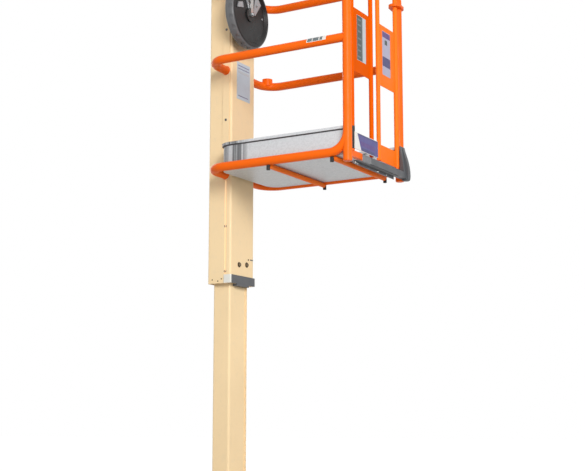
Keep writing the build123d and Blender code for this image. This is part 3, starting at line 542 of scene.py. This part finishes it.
# Two bolts and a screw in the outer column's lower front, and three screws in each of its sides
FRONT_BOLTS_YZ = ((-0.0326, 1.676), (0.0457, 1.683))
FRONT_SCREW_YZ = (0.0633, 1.714)
SIDE_SCREWS_XZ = ((-0.4218, 1.5874), (-0.3838, 1.5794), (-0.3597, 1.5903))
bm = bmesh.new()
for y, z in FRONT_BOLTS_YZ:
    hexagon_head(bm, (front, y, z), FORWARD, across=0.021, height=0.007)
button_head(bm, (front, *FRONT_SCREW_YZ), FORWARD, r=0.005, height=0.003)
for side in BOTH:
    for x, z in SIDE_SCREWS_XZ:
        button_head(bm, (x, side * side_face, z), (0, side, 0), r=0.004, height=0.002)
mesh_object("column_bolts", bm, "outer_mast", "bright_steel", finish=bronzed)

# Small catch beside those bolts
CATCH_Y, CATCH_Z = (0.081, 0.112), (1.713, 1.719)
bm = bmesh.new()
plate(bm, front, *CATCH_Y, *CATCH_Z, thick=0.0012, corner=0.002)
mesh_object("column_catch", bm, "outer_mast", "dark_plastic")

# Screws in the mast's cap
CAP_INSET, CAP_SCREW_Y = 0.022, 0.085
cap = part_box("mast_cap")
bm = bmesh.new()
for x in (cap[0].x + CAP_INSET, cap[1].x - CAP_INSET):
    for side in BOTH:
        button_head(bm, (x, side * CAP_SCREW_Y, cap[1].z), UP, r=0.006, height=0.0035)
mesh_object("cap_screws", bm, "outer_mast", "bright_steel", finish=dark_steel)

# Blank labels on flat faces. Columns: name, film, lift off the face, y0, y1, z0, z1
MAST_LABEL = (
    ("mast_label", "grey", 0.0, -0.07, 0.07, 2.636, 2.857),
    ("mast_label_head", "haze", FILM, -0.06, 0.06, 2.834, 2.839),
    ("mast_label_line", "haze", FILM, -0.06, 0.06, 2.817, 2.821),
    ("mast_label_band", "pale", FILM, -0.06, 0.06, 2.792, 2.806),
    ("mast_label_foot", "haze", FILM, -0.06, 0.05, 2.655, 2.659),
)
ROW_Z = (2.71, 2.745, 2.775, 2.81, 2.85, 2.885, 2.915)
ROW_HEIGHT, ROW_LIFT = 0.009, 0.0008
NEAR_GATE_LABEL = (
    ("near_gate_label", "pale", 0.0, -0.207, -0.104, 2.694, 2.943),
    ("near_gate_label_block", "dark", FILM, -0.206, -0.153, 2.696, 2.941),
    *(
        (f"near_gate_label_row{i}", "mid", ROW_LIFT, -0.2, -0.162, z, z + ROW_HEIGHT)
        for i, z in enumerate(ROW_Z)
    ),
    ("near_gate_label_strip", "mid", FILM, -0.152, -0.143, 2.696, 2.941),
)
FAR_GATE_LABEL = (
    ("far_gate_label", "lavender", 0.0, 0.097, 0.196, 2.692, 2.944),
    ("far_gate_label_head", "violet", FILM, 0.099, 0.194, 2.909, 2.941),
    ("far_gate_label_patch", "dark", FILM, 0.128, 0.158, 2.87, 2.896),
    ("far_gate_label_block", "blue", FILM, 0.099, 0.194, 2.743, 2.797),
)
for body, face, label in (
    ("outer_mast", front, MAST_LABEL),
    ("near_gate_leaf", panel_face, NEAR_GATE_LABEL),
    ("far_gate_leaf", panel_face, FAR_GATE_LABEL),
):
    for name, tone, lift, y0, y1, z0, z1 in label:
        bm = bmesh.new()
        plate(bm, face + lift, y0, y1, z0, z1)
        mesh_object(name, bm, body, "board", False, film[tone])

# The near gate's toe board, with its blank label. Columns: name, film, lift, corners as (y, z)
BOARD_THICK, BOARD_OUTER_Y, BOARD_INNER_Y = 0.003, -0.272, -0.0045
BOARD_AHEAD, PRINT = 0.0152, 0.0004
BOARD_LABEL = (
    ("board_label", "plum", 0.0, ((-0.243, 2.284), (-0.2, 2.1985), (-0.006, 2.1985), (-0.006, 2.284))),
    ("board_label_head", "blue", PRINT,
     ((-0.243, 2.284), (-0.24, 2.277), (-0.006, 2.277), (-0.006, 2.284))),
    ("board_label_block", "violet", PRINT,
     ((-0.212, 2.248), (-0.2, 2.225), (-0.04, 2.225), (-0.04, 2.248))),
    ("board_label_foot", "blue", PRINT, ((-0.197, 2.215), (-0.192, 2.2), (-0.05, 2.2), (-0.05, 2.215))),
)
board_x = gate_x + BOARD_AHEAD
bm = bmesh.new()
plate(bm, board_x, BOARD_OUTER_Y, BOARD_INNER_Y, board[0].z, board[1].z, BOARD_THICK, corner=0.004)
toe_board = mesh_object("near_toe_board", bm, "near_gate_leaf", "board", False, film["white"])
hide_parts("near_gate_board")
for name, tone, lift, outline in BOARD_LABEL:
    bm = bmesh.new()
    slab(bm, board_x + BOARD_THICK + lift, outline, thick=PRINT)
    mesh_object(name, bm, "near_gate_leaf", "board", False, film[tone])


# Blank label round the near mid rail
def on_near_rail(angle, radius, x):
    """A point round the near mid rail, from its outer side over its top."""
    return (x, -side_y - radius * cos(angle), MID_RAIL_Z + radius * sin(angle))


RAIL_LABEL_X = (0.312, 0.43)
RAIL_BLOCKS_X = ((0.318, 0.345), (0.35, 0.386), (0.392, 0.408))
bm = bmesh.new()
shell_arc(bm, on_near_rail, *RAIL_LABEL_X, -8, 105, inner=TUBE_R + 0.0001, outer=TUBE_R + 0.0005)
mesh_object("near_rail_label", bm, "cage", "board", finish=film["white"])
bm = bmesh.new()
for block in RAIL_BLOCKS_X:
    shell_arc(bm, on_near_rail, *block, -2, 60, inner=TUBE_R + 0.0005, outer=TUBE_R + 0.0008, steps=12)
mesh_object("near_rail_label_blocks", bm, "cage", "board", finish=film["mid"])

# Weld beads where the rails meet the posts and the sliders
WELD_LIFT, WELD_STEPS = 0.0006, 120
bm = bmesh.new()
for side in BOTH:
    saddle = []
    for a in circle(WELD_STEPS):
        y, z = TUBE_R * cos(a), TUBE_R * sin(a)
        saddle.append((post_x - (TUBE_R**2 - y**2) ** 0.5 - WELD_LIFT, side * side_y + y, MID_RAIL_Z + z))
    bead(bm, saddle, radius=0.0018)
    weld_y = side * (slider_face + WELD_LIFT)
    for rail_z in (FLOOR_TUBE_Z, MID_RAIL_Z):
        ring = [(slot_x + TUBE_R * cos(a), weld_y, rail_z + TUBE_R * sin(a)) for a in circle(WELD_STEPS)]
        bead(bm, ring, radius=0.0022)
mesh_object("rail_welds", bm, "cage", "cage_paint")

# Weld bead round the inner column's foot
COLUMN_CORNER, BEAD_STEP = 0.012, 0.004
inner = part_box("inner_column")
outline = rounded(inner[0].x, inner[1].x, -inner[1].y, inner[1].y, COLUMN_CORNER, steps=8)
path = []
for start, end in zip(outline, outline[1:] + outline[:1]):
    p, q = Vector((*start, RAIL_TOP + 0.0005)), Vector((*end, RAIL_TOP + 0.0005))
    steps = max(1, int((q - p).length / BEAD_STEP))
    path += [tuple(p.lerp(q, k / steps)) for k in range(steps)]
bm = bmesh.new()
bead(bm, path, radius=0.0028)
mesh_object("mast_foot_weld", bm, "base", "mast_paint")

# Caps on the gates' tubes, and plugs in the posts' lower ends
HINGE_CAP = ((HINGE_R - 0.0004, 0), (HINGE_R - 0.0004, 0.0012), (HINGE_R * 0.8, 0.0026), (0, 0.003))
POST_PLUG = ((TUBE_R - 0.0006, 0), (TUBE_R - 0.0006, 0.0015), (TUBE_R * 0.85, 0.003), (0, 0.003))
for name, side in SIDES:
    bm = bmesh.new()
    lathe(bm, HINGE_CAP, (gate_x, side * hinge_y, gate_box[1].z), UP)
    mesh_object(f"{name}_gate_cap", bm, f"{name}_gate_leaf", "cage_paint")
bm = bmesh.new()
for side in BOTH:
    lathe(bm, POST_PLUG, (post_x, side * side_y, loop[0].z), DOWN, steps=32)
mesh_object("post_plugs", bm, "cage", "cage_paint")

# Plugs in the base rails' rear ends
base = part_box("base_frame")
bm = bmesh.new()
for side in BOTH:
    y = side * rail_y
    outline = rounded(y - RAIL_HALF, y + RAIL_HALF, RAIL_BOTTOM, RAIL_TOP, corner=0.006)
    prism(bm, [(base[0].x, *point) for point in outline[::-1]], thickness=0.004, rounding=0.001)
mesh_object("rail_plugs", bm, "base", "dark_plastic")

# Foot bolts and castor bolts
FOOT_INSET, FOOT_BOLT_Y = 0.04, 0.14
PLATE_THICK, PLATE_BOLT = 0.006, 0.038
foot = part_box("mast_foot")
bm = bmesh.new()
for x in (foot[0].x + FOOT_INSET, foot[1].x - FOOT_INSET):
    for side in BOTH:
        hexagon_head(bm, (x, side * FOOT_BOLT_Y, RAIL_TOP), UP, across=0.018, height=0.008)
for side in BOTH:
    for x in (plate_x - PLATE_BOLT, plate_x + PLATE_BOLT):
        for dy in (-PLATE_BOLT, PLATE_BOLT):
            under = (x, side * rail_y + dy, RAIL_BOTTOM - PLATE_THICK)
            hexagon_head(bm, under, DOWN, across=0.0075, height=0.0045)
        hexagon_head(bm, (x, side * (rail_y + PLATE_BOLT), RAIL_BOTTOM), UP, across=0.009, height=0.006)
mesh_object("base_bolts", bm, "base", "bright_steel")

# Nuts on the castors' axles
FORK_HALF = 0.029
for name, _ in SIDES:
    x, y, z = middle(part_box(f"{name}_castor_tyre"))
    bm = bmesh.new()
    for leg in BOTH:
        hexagon_head(bm, (x, y + leg * FORK_HALF, z), (0, leg, 0), across=0.013, height=0.006)
    mesh_object(f"{name}_castor_nuts", bm, f"{name}_castor", "bright_steel")

# Screws of the drive's housing and bracket
SCREW_INSET, SIDE_SCREW_BACK, BRACKET_SCREW_Y = 0.014, 0.009, (0.0, 0.09)
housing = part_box("drive_housing")
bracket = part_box("drive_bracket")
bm = bmesh.new()
for y in (housing[0].y + SCREW_INSET, housing[1].y - SCREW_INSET):
    for z in (housing[0].z + SCREW_INSET, housing[1].z - SCREW_INSET):
        button_head(bm, (housing[1].x, y, z), FORWARD, r=0.0045, height=0.0024)
for side in BOTH:
    for z in (bracket[0].z + SCREW_INSET, bracket[1].z - SCREW_INSET):
        at = (bracket[1].x - SIDE_SCREW_BACK, side * bracket[1].y, z)
        button_head(bm, at, (0, side, 0), r=0.005, height=0.003)
for y in BRACKET_SCREW_Y:
    button_head(bm, (bracket[1].x, y, middle(bracket)[2]), FORWARD, r=0.0065, height=0.0035)
mesh_object("drive_screws", bm, "cage", "bright_steel", finish=dark_steel)

# The hand wheel's nut, and a bolt on its dished face
DISH_DEPTH, DISH_BOLT_Y, DISH_BOLT_Z = 0.014, 0.133, 0.014
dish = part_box("hand_wheel")[1].x - DISH_DEPTH
bm = bmesh.new()
hexagon_head(bm, (shaft[1].x, wheel_y, wheel_z), FORWARD, across=0.017, height=0.008)
button_head(bm, (dish, wheel_y + DISH_BOLT_Y, wheel_z + DISH_BOLT_Z), FORWARD, r=0.007, height=0.004)
mesh_object("wheel_nut", bm, "winding_wheel", "bright_steel", finish=plated)

# Folded crank's bracket on the dished face: two cheeks and a block, as (y, z) corners, and its screws
CHEEKS = (
    ((-0.089, 3.128), (-0.066, 3.134), (-0.078, 3.222), (-0.088, 3.25), (-0.134, 3.238), (-0.128, 3.195)),
    ((-0.047, 3.137), (-0.028, 3.122), (0.035, 3.206), (0.004, 3.236), (-0.03, 3.246)),
)
CHEEK_THICK, CHEEK_SCREWS_YZ = 0.0055, ((-0.1, 3.19), (-0.014, 3.185))
BLOCK = ((-0.221, 3.12), (-0.155, 3.136), (-0.164, 3.169), (-0.212, 3.154))
bm = bmesh.new()
for cheek in CHEEKS:
    slab(bm, dish, cheek, CHEEK_THICK, rounding=0.0012)
slab(bm, dish, BLOCK, thick=0.009, rounding=0.002)
mesh_object("crank_bracket", bm, "winding_wheel", "bright_steel", False, plated)
bm = bmesh.new()
for y, z in CHEEK_SCREWS_YZ:
    button_head(bm, (dish + CHEEK_THICK, y, z), FORWARD, r=0.006, height=0.003)
mesh_object("crank_bracket_screws", bm, "winding_wheel", "bright_steel", finish=dark_steel)


# Dark sleeve round the foot of the near gate's hinge tube
def on_near_hinge(angle, radius, z):
    """A point round the near gate's hinge tube."""
    return (gate_x + radius * cos(angle), -hinge_y + radius * sin(angle), z)


SLEEVE_TOP = 2.318
SLEEVE_INNER, SLEEVE_OUTER = HINGE_R + 0.0001, HINGE_R + 0.0015
sleeve_foot = gate_box[0].z + 0.0005
bm = bmesh.new()
shell_arc(bm, on_near_hinge, sleeve_foot, SLEEVE_TOP, -180, 179.9, SLEEVE_INNER, SLEEVE_OUTER, steps=40)
mesh_object("near_gate_sleeve", bm, "near_gate_leaf", "dark_plastic", finish=surfaces["rubber"])

# Swelling foot of the fin on the sill bar, as (x, z) corners
FIN_NEAR_Y, FIN_WIDTH = 0.293, 0.03
FIN_FOOT = (
    (0.5656, 2.3185), (0.5698, 2.3185), (0.5772, 2.29), (0.5866, 2.262), (0.5945, 2.235), (0.6008, 2.205),
    (0.6045, 2.175), (0.605, 2.15), (0.6025, 2.13), (0.592, 2.124), (0.5656, 2.126),
)
bm = bmesh.new()
prism(bm, [(x, FIN_NEAR_Y, z) for x, z in FIN_FOOT], FIN_WIDTH, rounding=0.0015)
mesh_object("sill_fin", bm, "cage", "dark_plastic", finish=bar_plastic)

# Thin channel under the sill bar: a web and a flange, with its bolts
CHANNEL_BACK, CHANNEL_FRONT = 0.5565, 0.5845
CHANNEL_NEAR, CHANNEL_FAR = -0.272, 0.2
WEB_BOTTOM, WEB_TOP, FLANGE_TOP = 2.117, 2.133, 2.1345
WEB_THICK, FLANGE_THICK = 0.0025, 0.0022
CHANNEL_BOLTS_Y, CHANNEL_BOLT_Z = (-0.262, -0.235, 0.0, 0.1), 2.1245
web = (
    (CHANNEL_NEAR, WEB_TOP),
    (CHANNEL_NEAR, WEB_BOTTOM),
    (CHANNEL_FAR, WEB_BOTTOM),
    (CHANNEL_FAR, WEB_TOP),
)
flange = (
    (CHANNEL_BACK, CHANNEL_NEAR),
    (CHANNEL_FRONT, CHANNEL_NEAR),
    (CHANNEL_FRONT, CHANNEL_FAR),
    (CHANNEL_BACK, CHANNEL_FAR),
)
bm = bmesh.new()
slab(bm, CHANNEL_BACK, web, WEB_THICK)
prism(bm, [(x, y, FLANGE_TOP) for x, y in flange], -FLANGE_THICK)
mesh_object("sill_channel", bm, "cage", "grey_metal", False)
bm = bmesh.new()
for y in CHANNEL_BOLTS_Y:
    hexagon_head(bm, (CHANNEL_BACK + WEB_THICK, y, CHANNEL_BOLT_Z), FORWARD, across=0.009, height=0.005)
mesh_object("sill_bolts", bm, "cage", "bright_steel")


# Floor, backdrop, lights and camera
def seen(tree):
    """1 for what the camera sees, also in a mirror or through glass, and 0 for light on other things."""
    rays = tree.nodes.new("ShaderNodeLightPath")
    total = None
    for ray in ("Is Camera Ray", "Is Glossy Ray", "Is Transmission Ray"):
        larger = add_node(tree, "ShaderNodeMath", operation="MAXIMUM")
        tree.links.new(rays.outputs[ray], larger.inputs[0])
        if total is None:
            larger.inputs[1].default_value = 0.0
        else:
            tree.links.new(total, larger.inputs[1])
        total = larger.outputs[0]
    return total


def floor_finish():
    """Matt grey that glows where it is seen, more so far off, where it nears the white backdrop."""
    glow_near, glow_far, near_metres, far_metres = 0.4, 0.74, 2.0, 11.0
    mat = bpy.data.materials.new("floor")
    mat.use_nodes = True
    tree = mat.node_tree
    bsdf = tree.nodes["Principled BSDF"]
    bsdf.inputs["Base Color"].default_value = (0.6, 0.6, 0.6, 1.0)
    bsdf.inputs["Roughness"].default_value = 0.95
    bsdf.inputs["Specular IOR Level"].default_value = 0.0
    coords = add_node(tree, "ShaderNodeTexCoord")
    distance = add_node(tree, "ShaderNodeVectorMath", operation="LENGTH")
    tree.links.new(coords.outputs["Object"], distance.inputs[0])
    rise = add_node(tree, "ShaderNodeMapRange")
    rise.inputs["From Min"].default_value = near_metres
    rise.inputs["From Max"].default_value = far_metres
    rise.inputs["To Min"].default_value = glow_near
    rise.inputs["To Max"].default_value = glow_far
    tree.links.new(distance.outputs["Value"], rise.inputs["Value"])
    strength = add_node(tree, "ShaderNodeMath", operation="MULTIPLY")
    tree.links.new(rise.outputs["Result"], strength.inputs[0])
    tree.links.new(seen(tree), strength.inputs[1])
    glow = add_node(tree, "ShaderNodeEmission")
    tree.links.new(strength.outputs[0], glow.inputs["Strength"])
    both = add_node(tree, "ShaderNodeAddShader")
    tree.links.new(bsdf.outputs[0], both.inputs[0])
    tree.links.new(glow.outputs[0], both.inputs[1])
    tree.links.new(both.outputs[0], tree.nodes["Material Output"].inputs["Surface"])
    return mat


def studio_world():
    """A world that lights with half strength and shows pure white."""
    light_strength, shown_strength = 0.5, 1.0
    world = bpy.data.worlds.new("studio")
    world.use_nodes = True
    tree = world.node_tree
    light = tree.nodes["Background"]
    shown = add_node(tree, "ShaderNodeBackground")
    for background, strength in ((light, light_strength), (shown, shown_strength)):
        background.inputs["Color"].default_value = (1.0, 1.0, 1.0, 1.0)
        background.inputs["Strength"].default_value = strength
    mix = add_node(tree, "ShaderNodeMixShader")
    tree.links.new(seen(tree), mix.inputs[0])
    tree.links.new(light.outputs[0], mix.inputs[1])
    tree.links.new(shown.outputs[0], mix.inputs[2])
    tree.links.new(mix.outputs[0], tree.nodes["World Output"].inputs["Surface"])
    return world


def area_light(name, at, aim, size, power):
    light = bpy.data.lights.new(name, "AREA")
    light.shape = "DISK"
    light.size = size
    light.energy = power
    obj = bpy.data.objects.new(name, light)
    obj.location = at
    obj.rotation_euler = (Vector(aim) - Vector(at)).to_track_quat("-Z", "Y").to_euler()
    scene.collection.objects.link(obj)


FLOOR_HALF = 60
floor_mesh = bpy.data.meshes.new("floor")
bm = bmesh.new()
bmesh.ops.create_grid(bm, x_segments=2, y_segments=2, size=FLOOR_HALF)
bm.to_mesh(floor_mesh)
bm.free()
floor_mesh.materials.append(floor_finish())
floor = bpy.data.objects.new("floor", floor_mesh)
scene.collection.objects.link(floor)
scene.world = studio_world()

# Lamps: name, place, point that it faces, width in metres, power in watts
LAMPS = (
    ("side", (-0.8, -6.0, 3.8), (0.0, 0, 2.5), 2.5, 24),
    ("front", (4.2, -4.4, 3.7), (-0.1, 0, 2.3), 2.4, 285),
    ("gates", (6.0, 0.6, 4.0), (0.0, 0, 2.3), 2.4, 42),
    ("back", (-4.5, 4.0, 4.0), (0.0, 0, 2.2), 3.0, 90),
)
for lamp in LAMPS:
    area_light(*lamp)

# The photo's camera, solved from its edges: place, and angles in degrees above level and round from +Y
CAMERA_AT = (3.3313, -5.6146, 0.7771)
CAMERA_RISE, CAMERA_TURN = 9.1012, 30.4539
SENSOR_MM, LENS_MM = 36, 73.24
camera_data = bpy.data.cameras.new("camera")
camera_data.sensor_width = SENSOR_MM
camera_data.lens = LENS_MM
camera = bpy.data.objects.new("camera", camera_data)
camera.location = CAMERA_AT
camera.rotation_euler = (radians(90 + CAMERA_RISE), 0, radians(CAMERA_TURN))
scene.collection.objects.link(camera)
scene.camera = camera
scene.view_settings.view_transform = "Standard"
